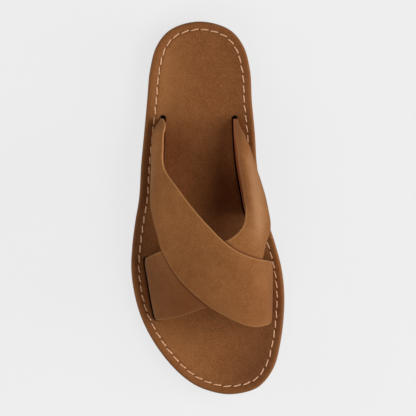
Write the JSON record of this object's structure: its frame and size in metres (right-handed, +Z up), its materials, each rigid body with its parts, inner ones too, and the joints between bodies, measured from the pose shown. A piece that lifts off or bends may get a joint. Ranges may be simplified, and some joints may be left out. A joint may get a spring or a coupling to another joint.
{
  "type": "slide sandal",
  "caption": "Open slide sandal with two wide leather straps crossing over the instep, each end let into a dished leather footbed on a moulded rubber sole",
  "frame": {"origin": "on the floor, under the middle of the sandal's bounding box", "axes": "+Z up from the floor, -Y towards the toe and +Y towards the heel, +X towards the inner side of the foot, where the big toe lies"},
  "size_m": [0.1175, 0.285, 0.0674],
  "materials": {
    "sole_rubber": "matte moulded rubber with a fine texture",
    "footbed_leather": "brown nubuck with a fine nap, darker along the rolled rim",
    "strap_leather": "tan oiled nubuck with a fine nap and cut edges"
  },
  "bodies": {
    "root": {"outsole": "sole_rubber", "footbed": "footbed_leather", "upper": "strap_leather"}
  },
  "joints": []
}
